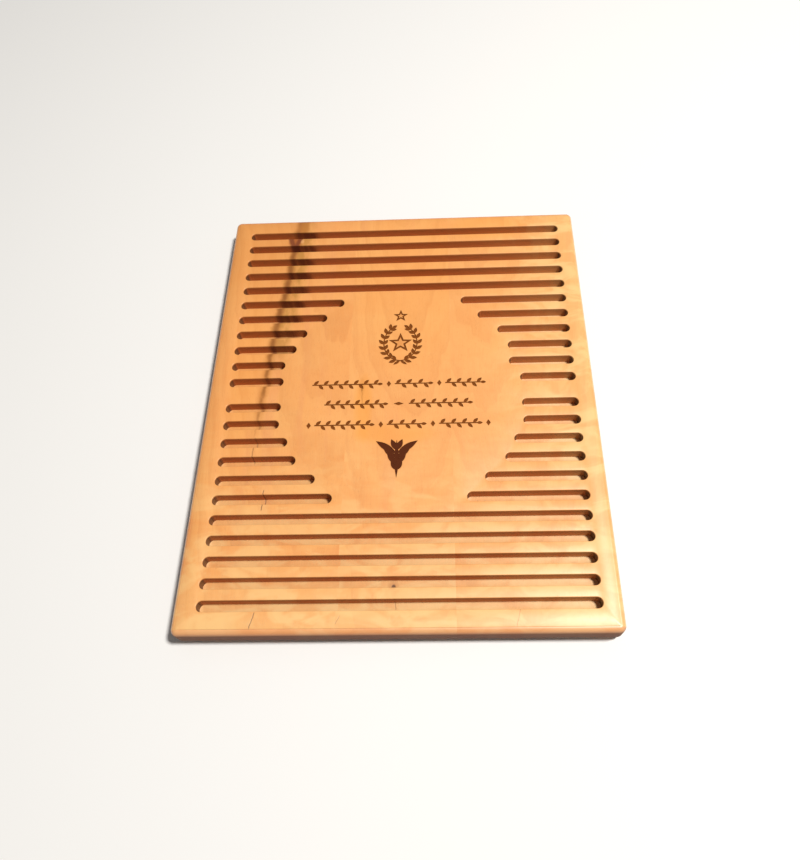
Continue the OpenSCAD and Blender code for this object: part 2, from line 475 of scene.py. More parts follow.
def rounded(points, radii, steps=4):
    """A profile with each corner rounded by its own radius."""
    out, n = [], len(points)
    for i, (p, r) in enumerate(zip(points, radii)):
        if r <= 0:
            out.append(p)
            continue
        a, b = Vector(points[i - 1]), Vector(points[(i + 1) % n])
        c = Vector(p)
        u, w = (a - c).normalized(), (b - c).normalized()
        half = math.acos(max(-1, min(1, u.dot(w)))) / 2
        t = min(r / math.tan(half), (a - c).length * 0.49, (b - c).length * 0.49)
        r_ = t * math.tan(half)
        centre = c + (u + w).normalized() * (r_ / math.sin(half))
        p0, p1 = c + u * t, c + w * t
        a0 = math.atan2(p0.y - centre.y, p0.x - centre.x)
        a1 = math.atan2(p1.y - centre.y, p1.x - centre.x)
        d = (a1 - a0 + math.pi) % math.tau - math.pi
        for k in range(steps + 1):
            a_ = a0 + d * k / steps
            out.append((centre.x + r_ * math.cos(a_), centre.y + r_ * math.sin(a_)))
    return out


FOOT_H = Z0
WELL_R, HOLE_R, SEAT = 4.8, 1.7, 1.5
SCREW_R, BITE, HEAD_R, HEAD_H, WASHER_R, WASHER_T = 1.45, 7.0, 2.8, 1.7, 4.5, 0.8


def foot_mesh(name, at):
    """Moulded bumper: rounded rim, three fine rings moulded round its side, and a
    shallow groove in the ring it rests on."""
    pts = [(HOLE_R, FOOT_H), (8.0, FOOT_H), (8.0, FOOT_H - 1.2)]
    rad = [0.0, 0.25, 0.5]
    for k in range(3):
        z = FOOT_H - 1.75 - 0.62 * k
        r = 6.75 + 1.25 * z / (FOOT_H - 1.2)
        pts += [(r, z + 0.12), (r - 0.16, z), (r, z - 0.12)]
        rad += [0.05, 0.05, 0.05]
    pts += [(6.75, 0.0), (6.05, 0.0), (5.9, 0.22), (5.62, 0.22), (5.47, 0.0), (WELL_R, 0.0),
            (WELL_R, FOOT_H - SEAT), (HOLE_R, FOOT_H - SEAT)]
    rad += [0.4, 0.08, 0.08, 0.08, 0.08, 0.25, 0.3, 0.1]
    bm = bmesh.new()
    lathe(bm, rounded(pts, rad), at)
    bmesh.ops.recalc_face_normals(bm, faces=bm.faces)
    ob = finish_mesh(bm, name, 50)
    bm.free()
    return ob


def washers_mesh(name):
    zt = FOOT_H - SEAT
    bm = bmesh.new()
    for sx in (-1, 1):
        for sy in (-1, 1):
            pts = [(HOLE_R, zt - WASHER_T), (WASHER_R, zt - WASHER_T), (WASHER_R, zt), (HOLE_R, zt)]
            lathe(bm, rounded(pts, [0.12, 0.22, 0.06, 0.06], 3), (sx * FX, sy * FY), 72)
    bmesh.ops.recalc_face_normals(bm, faces=bm.faces)
    ob = finish_mesh(bm, name, 40)
    bm.free()
    return ob


def screw_body(bm, at):
    """Pan head and a shank with a real running thread down to its point."""
    hz = FOOT_H - SEAT - WASHER_T
    head = [(0.0, hz - HEAD_H)]
    for k in range(1, 9):  # shallow dome, then the rounded shoulder
        t = k / 8
        head.append((1.9 * t, hz - HEAD_H + 0.12 * t * t))
    for k in range(1, 7):
        a = math.radians(90 * k / 6)
        head.append((1.9 + 0.9 * math.sin(a), hz - HEAD_H + 0.12 + 0.95 * (1 - math.cos(a))))
    head += [(HEAD_R, hz - 0.08), (HEAD_R - 0.08, hz), (1.25, hz)]
    n, pitch, top = 40, 1.15, Z0 + BITE
    rings = []
    for r, zz in head:
        rings.append([(0.0, 0.0, zz)] if r < 1e-6 else
                     [(r * math.cos(math.tau * i / n), r * math.sin(math.tau * i / n), zz) for i in range(n)])
    steps = int((top - hz) / 0.095)
    for s in range(1, steps):
        zz = hz + (top - hz) * s / steps
        ring = []
        for i in range(n):
            th = math.tau * i / n
            ph = ((zz - hz) / pitch - i / n) % 1.0
            crest = max(0.0, 1 - abs(ph - 0.5) / 0.28)
            fade = min(1.0, max(0.0, (zz - hz - 0.5) / 0.5))
            taper = min(1.0, max(0.0, (top - zz) / 1.7)) ** 0.75
            r = (1.0 + 0.22 * (1 - fade) + 0.43 * crest * fade) * taper
            ring.append((r * math.cos(th), r * math.sin(th), zz))
        rings.append(ring)
    rings.append([(0.0, 0.0, top)])
    made = []
    for ring in rings:
        made.append([bm.verts.new((at[0] + x, at[1] + y, zz)) for x, y, zz in ring])
    for a, b in zip(made, made[1:]):
        for i in range(n):
            j = (i + 1) % n
            vs = []
            for v in (a[i % len(a)], a[j % len(a)], b[j % len(b)], b[i % len(b)]):
                if v not in vs:
                    vs.append(v)
            if len(vs) > 2:
                bm.faces.new(vs).smooth = True


def recess_one(bm, at, turned):
    """One bar of the tapered cross, driven up into the head from below."""
    hz = FOOT_H - SEAT - WASHER_T - HEAD_H
    a = math.radians(turned)
    rows = []
    for zz, half_l, half_w in ((hz - 0.4, 1.62, 0.40), (hz + 1.25, 0.55, 0.22)):
        rows.append([bm.verts.new((at[0] + x * math.cos(a) - y * math.sin(a),
                                   at[1] + x * math.sin(a) + y * math.cos(a), zz))
                     for x, y in ((-half_l, -half_w), (half_l, -half_w), (half_l, half_w), (-half_l, half_w))])
    low, high = rows
    bm.faces.new(low[::-1])
    bm.faces.new(high)
    for i in range(4):
        j = (i + 1) % 4
        bm.faces.new([low[i], low[j], high[j], high[i]])


def screws_mesh(name):
    joined = bmesh.new()
    for k, (sx, sy) in enumerate(((-1, -1), (1, -1), (-1, 1), (1, 1))):
        at, turn_by = (sx * FX, sy * FY), (12, 57, 31, 80)[k]
        bm = bmesh.new()
        screw_body(bm, at)
        bmesh.ops.recalc_face_normals(bm, faces=bm.faces)
        body = finish_mesh(bm, "tmp_screw", 40)
        bm.free()
        for q in (0, 1):
            cbm = bmesh.new()
            recess_one(cbm, at, turn_by + 90 * q)
            bmesh.ops.recalc_face_normals(cbm, faces=cbm.faces)
            cutter = finish_mesh(cbm, "tmp_cross", 40)
            cbm.free()
            mod = body.modifiers.new("cross", "BOOLEAN")
            mod.operation, mod.solver, mod.object = "DIFFERENCE", "EXACT", cutter
            bpy.context.view_layer.update()
            dg = bpy.context.evaluated_depsgraph_get()
            me = bpy.data.meshes.new_from_object(body.evaluated_get(dg), depsgraph=dg)
            body.modifiers.clear()
            old = body.data
            body.data = me
            bpy.data.meshes.remove(old)
            cm = cutter.data
            bpy.data.objects.remove(cutter)
            bpy.data.meshes.remove(cm)
        joined.from_mesh(body.data)
        bd = body.data
        bpy.data.objects.remove(body)
        bpy.data.meshes.remove(bd)
    joined.transform(Matrix.Scale(1000, 4))
    bmesh.ops.remove_doubles(joined, verts=joined.verts, dist=0.001)
    ob = finish_mesh(joined, name, 35)
    print(name, "open or extra edges", len([e for e in joined.edges if len(e.link_faces) != 2]))
    joined.free()
    return ob


FEET = {
    "foot_front_left": foot_mesh("foot_front_left_rubber", (-FX, -FY)),
    "foot_front_right": foot_mesh("foot_front_right_rubber", (FX, -FY)),
    "foot_rear_left": foot_mesh("foot_rear_left_rubber", (-FX, FY)),
    "foot_rear_right": foot_mesh("foot_rear_right_rubber", (FX, FY)),
}
WASHERS = washers_mesh("foot_washers_steel")
SCREWS = screws_mesh("foot_screws_steel")

# ------------------------------------------------------------------- materials


class Graph:
    """Small helper: sockets in, sockets out."""

    def __init__(self, name):
        self.mat = bpy.data.materials.new(name)
        self.mat.use_nodes = True
        self.nt = self.mat.node_tree
        self.nt.nodes.clear()
        self.out = self.nt.nodes.new("ShaderNodeOutputMaterial")

    def put(self, socket, value):
        if isinstance(value, bpy.types.NodeSocket):
            self.nt.links.new(value, socket)
        elif isinstance(value, (tuple, list)):
            if socket.type == "RGBA" and len(value) == 3:
                value = (*value, 1.0)
            socket.default_value = value
        else:
            socket.default_value = value

    def math(self, op, a, b=None, c=None, clamp=False):
        n = self.nt.nodes.new("ShaderNodeMath")
        n.operation, n.use_clamp = op, clamp
        for i, v in enumerate((a, b, c)):
            if v is not None:
                self.put(n.inputs[i], v)
        return n.outputs[0]

    def add(self, a, b):
        return self.math("ADD", a, b)

    def mul(self, a, b, clamp=False):
        return self.math("MULTIPLY", a, b, clamp=clamp)

    def sub(self, a, b):
        return self.math("SUBTRACT", a, b)

    def xyz(self, x, y, z):
        n = self.nt.nodes.new("ShaderNodeCombineXYZ")
        for i, v in enumerate((x, y, z)):
            self.put(n.inputs[i], v)
        return n.outputs[0]

    def split(self, v):
        n = self.nt.nodes.new("ShaderNodeSeparateXYZ")
        self.put(n.inputs[0], v)
        return n.outputs[0], n.outputs[1], n.outputs[2]

    def noise(self, v, scale=1.0, detail=2.0, rough=0.5, distort=0.0):
        n = self.nt.nodes.new("ShaderNodeTexNoise")
        self.put(n.inputs["Vector"], v)
        n.inputs["Scale"].default_value = scale
        n.inputs["Detail"].default_value = detail
        n.inputs["Roughness"].default_value = rough
        n.inputs["Distortion"].default_value = distort
        return n.outputs["Fac"] if "Fac" in n.outputs else n.outputs[0]

    def ramp(self, fac, stops, interpolation="LINEAR"):
        n = self.nt.nodes.new("ShaderNodeValToRGB")
        self.put(n.inputs[0], fac)
        r = n.color_ramp
        r.interpolation = interpolation
        while len(r.elements) < len(stops):
            r.elements.new(0.5)
        for e, (p, c) in zip(r.elements, stops):
            e.position = p
            e.color = (*c, 1.0) if isinstance(c, (tuple, list)) else (c, c, c, 1.0)
        return n.outputs[0]

    def mix(self, fac, a, b, blend="MIX"):
        n = self.nt.nodes.new("ShaderNodeMix")
        n.data_type, n.blend_type, n.clamp_factor = "RGBA", blend, True
        self.put(n.inputs[0], fac)
        self.put(n.inputs[6], a)
        self.put(n.inputs[7], b)
        return n.outputs[2]

    def smooth(self, v, lo, hi, a=0.0, b=1.0):
        """a below lo, b above hi, an S between; lo may be above hi."""
        n = self.nt.nodes.new("ShaderNodeMapRange")
        n.interpolation_type = "SMOOTHSTEP"
        if lo > hi:
            lo, hi, a, b = hi, lo, b, a
        self.put(n.inputs["Value"], v)
        for key, val in (("From Min", lo), ("From Max", hi), ("To Min", a), ("To Max", b)):
            n.inputs[key].default_value = val
        return n.outputs[0]

    def curve(self, v, lo, hi, points):
        """A smooth function of v given at chosen places between lo and hi."""
        ys = [p[1] for p in points]
        y0, y1 = min(ys), max(ys)
        t = self.math("DIVIDE", self.sub(v, lo), hi - lo, clamp=True)
        n = self.nt.nodes.new("ShaderNodeFloatCurve")
        self.put(n.inputs["Value"], t)
        c = n.mapping.curves[0]
        norm = [((x - lo) / (hi - lo), (y - y0) / (y1 - y0)) for x, y in points]
        while len(c.points) < len(norm):
            c.points.new(0.5, 0.5)
        for p, (x, y) in zip(c.points, norm):
            p.location = (x, y)
            p.handle_type = "AUTO"
        n.mapping.update()
        return self.add(self.mul(n.outputs[0], y1 - y0), y0)

    def bump(self, height, distance, strength=1.0, normal=None):
        n = self.nt.nodes.new("ShaderNodeBump")
        n.inputs["Strength"].default_value = strength
        n.inputs["Distance"].default_value = distance
        self.put(n.inputs["Height"], height)
        if normal is not None:
            self.put(n.inputs["Normal"], normal)
        return n.outputs[0]

    def object_mm(self):
        t = self.nt.nodes.new("ShaderNodeTexCoord")
        n = self.nt.nodes.new("ShaderNodeVectorMath")
        n.operation = "MULTIPLY"
        self.put(n.inputs[0], t.outputs["Object"])
        n.inputs[1].default_value = (1000.0, 1000.0, 1000.0)
        return n.outputs[0]

    def attribute(self, name):
        n = self.nt.nodes.new("ShaderNodeAttribute")
        n.attribute_type, n.attribute_name = "GEOMETRY", name
        return n.outputs["Fac"]

    def normal(self):
        return self.nt.nodes.new("ShaderNodeNewGeometry").outputs["True Normal"]

    def principled(self, **values):
        n = self.nt.nodes.new("ShaderNodeBsdfPrincipled")
        for key, v in values.items():
            self.put(n.inputs[key.replace("_", " ")], v)
        self.nt.links.new(n.outputs[0], self.out.inputs[0])
        return n


def ellipse_mask(g, x, y, cx, cy, rx, ry, soft=1.6):
    """1 inside a small ellipse, fading out by soft times its radii."""
    dx = g.mul(g.sub(x, cx), 1.0 / rx)
    dy = g.mul(g.sub(y, cy), 1.0 / ry)
    d = g.add(g.mul(dx, dx), g.mul(dy, dy))
    return g.smooth(d, 0.35, soft * soft, 1.0, 0.0)


def hairline(g, xw, y, x0, y0, x1, y1, width):
    """A fine dark check from (x0, y0) up to (x1, y1), y0 below y1."""
    slope = (x1 - x0) / (y1 - y0)
    centre = g.add(g.mul(g.sub(y, y0), slope), x0)
    across = g.smooth(g.math("ABSOLUTE", g.sub(xw, centre)), width * 0.3, width, 1.0, 0.0)
    up = g.mul(g.smooth(y, y0 - 0.8, y0 + 0.8), g.smooth(y, y1 + 0.8, y1 - 0.8))
    return g.mul(across, up)


def wood(name, burnt=False, pith=(4.0, -60.0), tone=0.0, seed=0.0, streak=False, extras=()):
    """Amber hardwood under a clear satin finish. The grain runs along Y. pith gives
    where this stave's heart lay, seed moves its figure, tone lightens it a little."""
    g = Graph(name)
    p = g.object_mm()
    xt, y, z = g.split(p)
    x = g.mul(xt, 12.0 / 13.0)  # the figure is laid out on a 228.6 mm wide board
    nx, ny, nz = g.split(g.normal())
    end = g.smooth(g.math("ABSOLUTE", ny), 0.45, 0.8)
    depth = g.sub(Z1, z)

    # slow wander of the grain
    wander = g.noise(g.xyz(g.add(g.mul(x, 0.020), seed), g.mul(y, 0.0055), g.mul(z, 0.02)), 1.0, 2.0, 0.45)
    ripple = g.noise(g.xyz(g.add(g.mul(x, 0.09), seed), g.mul(y, 0.018), g.mul(z, 0.09)), 1.0, 2.0, 0.5)
    xw = g.add(x, g.add(g.mul(g.sub(wander, 0.5), 26.0), g.mul(g.sub(ripple, 0.5), 3.2)))

    # growth rings about a tilted heart: nested arches where it nears the face
    dx = g.sub(xw, pith[0])
    heart = g.add(g.mul(y, 0.085), pith[1])
    dz = g.sub(z, heart)
    r = g.math("SQRT", g.add(g.mul(dx, dx), g.mul(dz, dz)))
    r = g.add(r, g.mul(g.noise(g.xyz(g.mul(x, 0.05), g.mul(y, 0.02), seed), 1.0, 3.0, 0.6), 7.0))
    ring = g.math("FRACT", g.mul(r, 1.0 / 4.6))
    late = g.mul(g.smooth(ring, 0.25, 0.93), g.smooth(ring, 1.0, 0.95))
    ring2 = g.math("FRACT", g.mul(r, 1.0 / 1.7))
    late2 = g.mul(g.smooth(ring2, 0.3, 0.9), g.smooth(ring2, 1.0, 0.92))

    # fibres and short pores, long along Y
    fib = g.noise(g.xyz(g.mul(xw, 1.5), g.mul(y, 0.035), g.mul(z, 1.5)), 1.0, 4.0, 0.62)
    fine = g.noise(g.xyz(g.mul(xw, 5.5), g.mul(y, 0.16), g.mul(z, 5.5)), 1.0, 2.0, 0.6)
    pore = g.smooth(g.noise(g.xyz(g.mul(xw, 7.0), g.mul(y, 0.42), g.mul(z, 7.0)), 1.0, 1.0, 0.5), 0.66, 0.74)

    # chatoyant mottle: soft patches lying across the grain
    curl = g.noise(g.xyz(g.mul(x, 0.045), g.add(g.mul(y, 0.13), seed), g.mul(z, 0.05)), 1.0, 3.0, 0.55, 0.6)
    patch = g.noise(g.xyz(g.add(g.mul(x, 0.03), seed * 2), g.mul(y, 0.028), 0.0), 1.0, 2.0, 0.5)
    lower = g.smooth(y, 20.0, -95.0, 0.30, 1.0)
    blush = g.noise(g.xyz(g.mul(xw, 0.11), g.mul(y, 0.006), seed + 3.0), 1.0, 2.0, 0.55)

    light_c, mid_c, dark_c = (0.95, 0.475, 0.155), (0.90, 0.360, 0.098), (0.64, 0.205, 0.044)
    tone_mix = g.add(g.mul(g.sub(patch, 0.5), 0.9), g.add(g.mul(g.mul(g.sub(curl, 0.5), 1.5), lower), 0.42 + tone))
    base = g.mix(g.math("MINIMUM", g.math("MAXIMUM", tone_mix, 0.0), 1.0), mid_c, light_c)
    lines = g.add(g.mul(late, 0.17), g.add(g.mul(late2, 0.07), g.mul(g.sub(fib, 0.5), 0.34)))
    base = g.mix(g.math("MAXIMUM", lines, 0.0), base, dark_c)
    base = g.mix(g.smooth(blush, 0.56, 0.72, 0.0, 0.30), base, (0.82, 0.315, 0.12))
    base = g.mix(g.mul(pore, 0.28), base, (0.36, 0.12, 0.03))
    base = g.mix(g.mul(g.smooth(fine, 0.35, 0.75), 0.12), base, (0.96, 0.60, 0.25))
    # pale sapwood clouds in the lower third and towards the right, plus painted sheen: a plain lightening towards the
    # right and bottom edges
    cloud = g.noise(g.xyz(g.add(g.mul(x, 0.040), seed), g.add(g.mul(y, 0.062), 7.0), 0.0), 1.0, 3.0, 0.6, 0.8)
    sapwood_and_painted_sheen = g.math("MAXIMUM", g.mul(g.smooth(y, -20.0, -112.0), 0.85), g.smooth(x, 40.0, 105.0))
    sapwood_and_painted_sheen = g.mul(sapwood_and_painted_sheen, g.smooth(cloud, 0.40, 0.62))
    # painted sheen: steady lightening towards the bottom and right edges, standing in for the lamp's glare
    sapwood_and_painted_sheen = g.add(g.mul(sapwood_and_painted_sheen, 0.62), g.add(g.mul(g.smooth(y, -105.0, -150.0), 0.30), g.mul(g.smooth(x, 50.0, 112.0), 0.22)))
    base = g.mix(g.math("MINIMUM", sapwood_and_painted_sheen, 0.9), base, (0.97, 0.605, 0.245))

    marks = None
    if streak:
        # bark pocket that wanders down the board, and the stain it left to its right
        centre = g.curve(y, -60.0, 153.0, [(-60.0, -84.5), (-30.0, -83.2), (-5.0, -81.9), (8.0, -80.6), (27.0, -80.0),
                                           (49.0, -78.4), (68.0, -76.8), (84.0, -74.6), (104.0, -73.2),
                                           (119.0, -72.0), (125.0, -71.2), (137.0, -70.9), (153.0, -69.2)])
        jag = g.mul(g.sub(g.noise(g.xyz(g.mul(x, 0.12), g.mul(y, 0.22), 3.0), 1.0, 3.0, 0.6), 0.5), 2.0)
        off = g.sub(g.add(x, jag), centre)
        wide = g.curve(y, -60.0, 153.0, [(-60.0, 0.15), (-30.0, 0.3), (0.0, 0.9), (12.0, 0.9), (40.0, 1.3), (75.0, 1.55),
                                         (110.0, 1.45), (122.0, 1.5), (131.0, 1.3), (153.0, 1.2)])
        ab = g.math("ABSOLUTE", off)
        core = g.smooth(g.math("DIVIDE", ab, wide), 0.10, 2.1, 1.0, 0.0)
        fade = g.smooth(y, -42.0, 0.0)
        broken = g.smooth(g.noise(g.xyz(g.mul(x, 0.2), g.mul(y, 0.14), 9.0), 1.0, 3.0, 0.6), 0.30, 0.52)
        core = g.mul(core, g.mul(fade, g.add(g.mul(broken, 0.40), 0.5)))
        core = g.mul(core, g.smooth(y, 137.0, 143.0, 1.0, 0.35))
        # brown stain on both sides of it, wider on the right, and a warm cast over the upper left
        side = g.add(off, g.mul(g.sub(g.noise(g.xyz(g.mul(x, 0.1), g.mul(y, 0.10), 5.0), 1.0, 3.0, 0.6), 0.5), 9.0))
        blot = g.noise(g.xyz(g.mul(x, 0.19), g.mul(y, 0.07), 15.0), 1.0, 3.0, 0.6)
        stain = g.mul(g.smooth(side, -4.0, 0.0), g.smooth(side, 13.5, 6.5))
        stain = g.mul(g.mul(stain, g.smooth(y, 12.0, 50.0)), g.smooth(blot, 0.34, 0.58, 0.35, 1.0))
        upper = g.mul(g.smooth(y, 30.0, 125.0), g.smooth(off, 26.0, -8.0))
        base = g.mix(g.mul(upper, 0.42), base, (0.72, 0.27, 0.048))
        base = g.mix(g.mul(stain, g.smooth(y, 136.0, 143.0, 0.80, 0.35)), base, (0.50, 0.225, 0.036))
        crown = g.mul(ellipse_mask(g, g.add(x, g.mul(jag, 1.2)), y, -67.0, 147.5, 3.0, 9.0, 1.6), 0.80)
        base = g.mix(crown, base, (0.47, 0.165, 0.016))
        base = g.mix(g.mul(g.smooth(ab, 4.2, 0.6), g.mul(fade, 0.55)), base, (0.50, 0.165, 0.026))
        # the pocket runs to the right inside the wood: a long dark smear down each slot's wall
        deep = g.smooth(depth, 0.5, 1.3)
        run = g.sub(off, g.mul(g.smooth(depth, 0.5, 5.0), 1.5))
        smear = g.mul(g.smooth(run, -2.2, 4.0), g.smooth(run, 14.5, 9.0))
        smear = g.mul(g.mul(smear, deep), g.mul(g.smooth(y, 22.0, 60.0), g.smooth(blot, 0.30, 0.55, 0.5, 1.0)))
        base = g.mix(g.mul(smear, 0.86), base, (0.300, 0.070, 0.008))
        base = g.mix(g.mul(core, 0.90), base, g.mix(deep, (0.270, 0.082, 0.009), (0.24, 0.050, 0.006)))
        # small knot with two bark arms that meet below it
        kx, ky = g.add(x, g.mul(jag, 0.6)), g.add(y, g.mul(jag, 0.4))
        arms = g.math("MAXIMUM", hairline(g, kx, ky, -72.2, 124.0, -75.2, 134.0, 2.7),
                      hairline(g, kx, ky, -71.6, 124.5, -68.6, 133.4, 2.3))
        heart_ = ellipse_mask(g, kx, ky, -71.9, 131.0, 3.2, 4.6, 1.8)
        base = g.mix(g.mul(heart_, 0.85), base, (0.45, 0.120, 0.020))
        base = g.mix(g.mul(arms, 0.85), base, (0.20, 0.040, 0.006))
        eye = ellipse_mask(g, kx, ky, -67.2, 130.6, 1.0, 1.5, 1.5)
        base = g.mix(g.mul(eye, 0.45), base, (0.95, 0.50, 0.20))
        marks = g.math("MAXIMUM", core, arms)
    for kind, *a in extras:
        if kind == "line":
            xj = g.add(x, g.mul(g.sub(g.noise(g.xyz(g.mul(x, 0.1), g.mul(y, 0.5), a[1]), 1.0, 2.0, 0.6), 0.5), 0.9))
            m = hairline(g, xj, y, *a[:4], a[4])
            base = g.mix(g.mul(m, a[5]), base, (0.16, 0.05, 0.015))
        elif kind == "knot":
            xj = g.add(x, g.mul(g.sub(ripple, 0.5), 1.0))
            halo = ellipse_mask(g, xj, y, a[0], a[1], a[2] * 2.2, a[3] * 2.0, 1.5)
            base = g.mix(g.mul(halo, 0.40), base, (0.55, 0.19, 0.045))
            m = ellipse_mask(g, xj, y, a[0], a[1], a[2], a[3], 1.25)
            base = g.mix(g.mul(m, a[4]), base, (0.10, 0.030, 0.010))
        else:  # warm resin glow
            m = ellipse_mask(g, g.add(x, g.mul(g.sub(ripple, 0.5), 6.0)), y, a[0], a[1], a[2], a[3], 1.7)
            base = g.mix(g.mul(m, a[4]), base, (0.93, 0.36, 0.045))
            continue
        marks = m if marks is None else g.math("MAXIMUM", marks, m)

    # end grain drinks the finish: darker and redder, with the rings cut across; painted light makes it paler towards
    # the right
    inside = g.mul(g.smooth(depth, 0.6, 1.2), g.mul(g.smooth(g.math("ABSOLUTE", x), 106.5, 105.5),
                                                   g.smooth(g.math("ABSOLUTE", y), 141.5, 140.5)))
    dots = g.noise(g.xyz(g.mul(x, 3.2), g.mul(y, 0.5), g.mul(z, 3.2)), 1.0, 3.0, 0.6)
    end_tint_and_painted_light = g.mix(dots, (0.42, 0.235, 0.165), (0.66, 0.45, 0.35))
    # painted light: slot walls paler towards the right, standing in for the lamp's light from that side
    end_tint_and_painted_light = g.mix(g.smooth(x, 10.0, 100.0), end_tint_and_painted_light, g.mix(dots, (0.48, 0.33, 0.27), (0.74, 0.62, 0.55)))
    base = g.mix(g.mul(end, inside), base, g.mix(1.0, base, end_tint_and_painted_light, "MULTIPLY"))
    # cut floor of a slot: duller than the face; the walls at its ends get painted shade
    floor_ = g.mul(inside, g.smooth(nz, 0.6, 0.9))
    base = g.mix(floor_, base, g.mix(1.0, base, (0.78, 0.86, 0.95), "MULTIPLY"))
    # painted shade: slot end walls darkened nearly to black, standing in for the shadow they cast
    painted_end_shade = g.mul(inside, g.smooth(g.math("ABSOLUTE", nx), 0.28, 0.70))
    base = g.mix(g.mul(painted_end_shade, 0.88), base, (0.085, 0.028, 0.010))
    # round-over and sides: pinkish end grain, with painted shade that darkens it down the side
    rim = g.math("MAXIMUM", g.mul(g.smooth(g.math("ABSOLUTE", xt), HW - 3.22, HW - 3.0), g.smooth(depth, 2.2, 4.5, 0.15, 0.75)),
                 g.smooth(g.math("ABSOLUTE", y), HL - 3.22, HL - 3.0))
    # painted shade: the tint runs from pink to near black down the side, in place of the shade on the sides
    side_tint_and_painted_shade = g.ramp(g.mul(depth, 0.1), [(0.0, (0.92, 0.82, 0.90)), (0.10, (0.90, 0.78, 0.86)), (0.16, (0.80, 0.66, 0.72)),
                                           (0.24, (0.52, 0.40, 0.42)), (0.37, (0.24, 0.145, 0.115)), (1.0, (0.18, 0.098, 0.072))])
    side_tint_and_painted_shade = g.mix(g.mul(g.mul(dots, end), 0.5), side_tint_and_painted_shade, (1.0, 0.95, 0.9), "MULTIPLY")
    base = g.mix(rim, base, g.mix(1.0, base, side_tint_and_painted_shade, "MULTIPLY"))

    scorch = g.attribute("scorch")
    glow = g.noise(g.xyz(g.mul(x, 0.6), g.mul(y, 0.6), 2.0), 1.0, 3.0, 0.6)
    if burnt:
        # raster passes of the engraver, side by side
        rows = g.math("SINE", g.mul(g.add(y, g.mul(glow, 0.06)), math.tau / 0.26))
        char = g.noise(g.xyz(g.mul(x, 1.1), g.mul(y, 2.5), g.mul(z, 1.0)), 1.0, 4.0, 0.65)
        soft_c = g.mix(char, (0.27, 0.074, 0.008), (0.17, 0.040, 0.004))
        hard_c = g.mix(char, (0.135, 0.026, 0.005), (0.058, 0.011, 0.003))
        burn = g.mix(g.smooth(scorch, 0.66, 0.95), soft_c, hard_c)
        burn = g.mix(g.mul(g.smooth(rows, 0.2, 1.0), g.smooth(scorch, 0.66, 0.95, 0.22, 0.10)), burn, (0.40, 0.135, 0.022))
        burn = g.mix(g.mul(pore, 0.5), burn, (0.02, 0.006, 0.003))
        h = g.add(g.mul(rows, 0.5), g.add(g.mul(char, 1.2), g.mul(fib, 0.8)))
        n = g.bump(h, 0.00006, 0.9)
        g.principled(Base_Color=burn, Roughness=g.add(g.mul(char, 0.25), 0.62), Normal=n, IOR=1.33,
                     Specular_IOR_Level=0.30)
        return g.mat
    halo = g.mul(g.math("POWER", g.math("MINIMUM", scorch, 1.0), 1.6), g.add(g.mul(glow, 0.7), 0.35))
    base = g.mix(g.mul(halo, 0.80, clamp=True), base, (0.60, 0.185, 0.018))

    height = g.add(g.mul(fib, 0.55), g.add(g.mul(fine, 0.25), g.add(g.mul(late, 0.35), g.mul(pore, -0.9))))
    if marks is not None:
        height = g.add(height, g.mul(marks, -3.0))
    tool = g.math("SINE", g.mul(x, math.tau / 0.9))  # cutter marks left in the slots
    height = g.add(height, g.mul(g.mul(tool, inside), 0.22))
    n = g.bump(height, 0.00004, 0.55)
    rough = g.add(0.40, g.add(g.mul(g.sub(fib, 0.5), 0.18), g.mul(end, 0.16)))
    rough = g.add(rough, g.mul(inside, 0.12))
    under = g.smooth(nz, -0.5, -0.9)
    bare = g.mul(rim, g.smooth(depth, 1.6, 3.4))  # the sides soak the finish up
    coat = g.sub(1.0, g.math("MAXIMUM", g.mul(inside, 0.75), g.math("MAXIMUM", g.mul(under, 0.85), g.mul(bare, 0.95))))
    coat = g.mul(coat, 0.85)
    rough = g.add(rough, g.mul(bare, 0.22))
    g.principled(Base_Color=base, Roughness=g.add(rough, g.mul(under, 0.14)), Normal=n, IOR=1.47,
                 Coat_Weight=coat, Coat_Roughness=0.40)
    return g.mat


def rubber(name):
    g = Graph(name)
    p = g.object_mm()
    x, y, z = g.split(p)
    grain = g.noise(p, 3.2, 3.0, 0.6)
    dust = g.noise(p, 0.35, 4.0, 0.6)
    c = g.mix(g.smooth(dust, 0.42, 0.72), (0.020, 0.019, 0.018), (0.050, 0.047, 0.043))
    c = g.mix(g.mul(g.smooth(z, 0.5, 0.0), 0.5), c, (0.085, 0.080, 0.074))
    n = g.bump(grain, 0.00005, 0.5)
    g.principled(Base_Color=c, Roughness=g.add(0.58, g.mul(grain, 0.25)), Normal=n, IOR=1.5)
    return g.mat


def steel(name, tint=(0.62, 0.63, 0.65)):
    g = Graph(name)
    p = g.object_mm()
    spangle = g.noise(p, 0.9, 3.0, 0.6)
    scratch = g.noise(g.xyz(*[g.mul(v, s) for v, s in zip(g.split(p), (9.0, 0.8, 3.0))]), 1.0, 3.0, 0.6)
    dull = tuple(v * 0.72 for v in tint)
    c = g.mix(g.smooth(spangle, 0.3, 0.75), dull, tint)
    c = g.mix(g.mul(g.smooth(scratch, 0.6, 0.8), 0.4), c, tuple(min(1.0, v * 1.3) for v in tint))
    n = g.bump(g.add(scratch, g.mul(spangle, 0.4)), 0.00002, 0.5)
    g.principled(Base_Color=c, Metallic=1.0, Roughness=g.add(0.26, g.mul(spangle, 0.22)), Normal=n)
    return g.mat


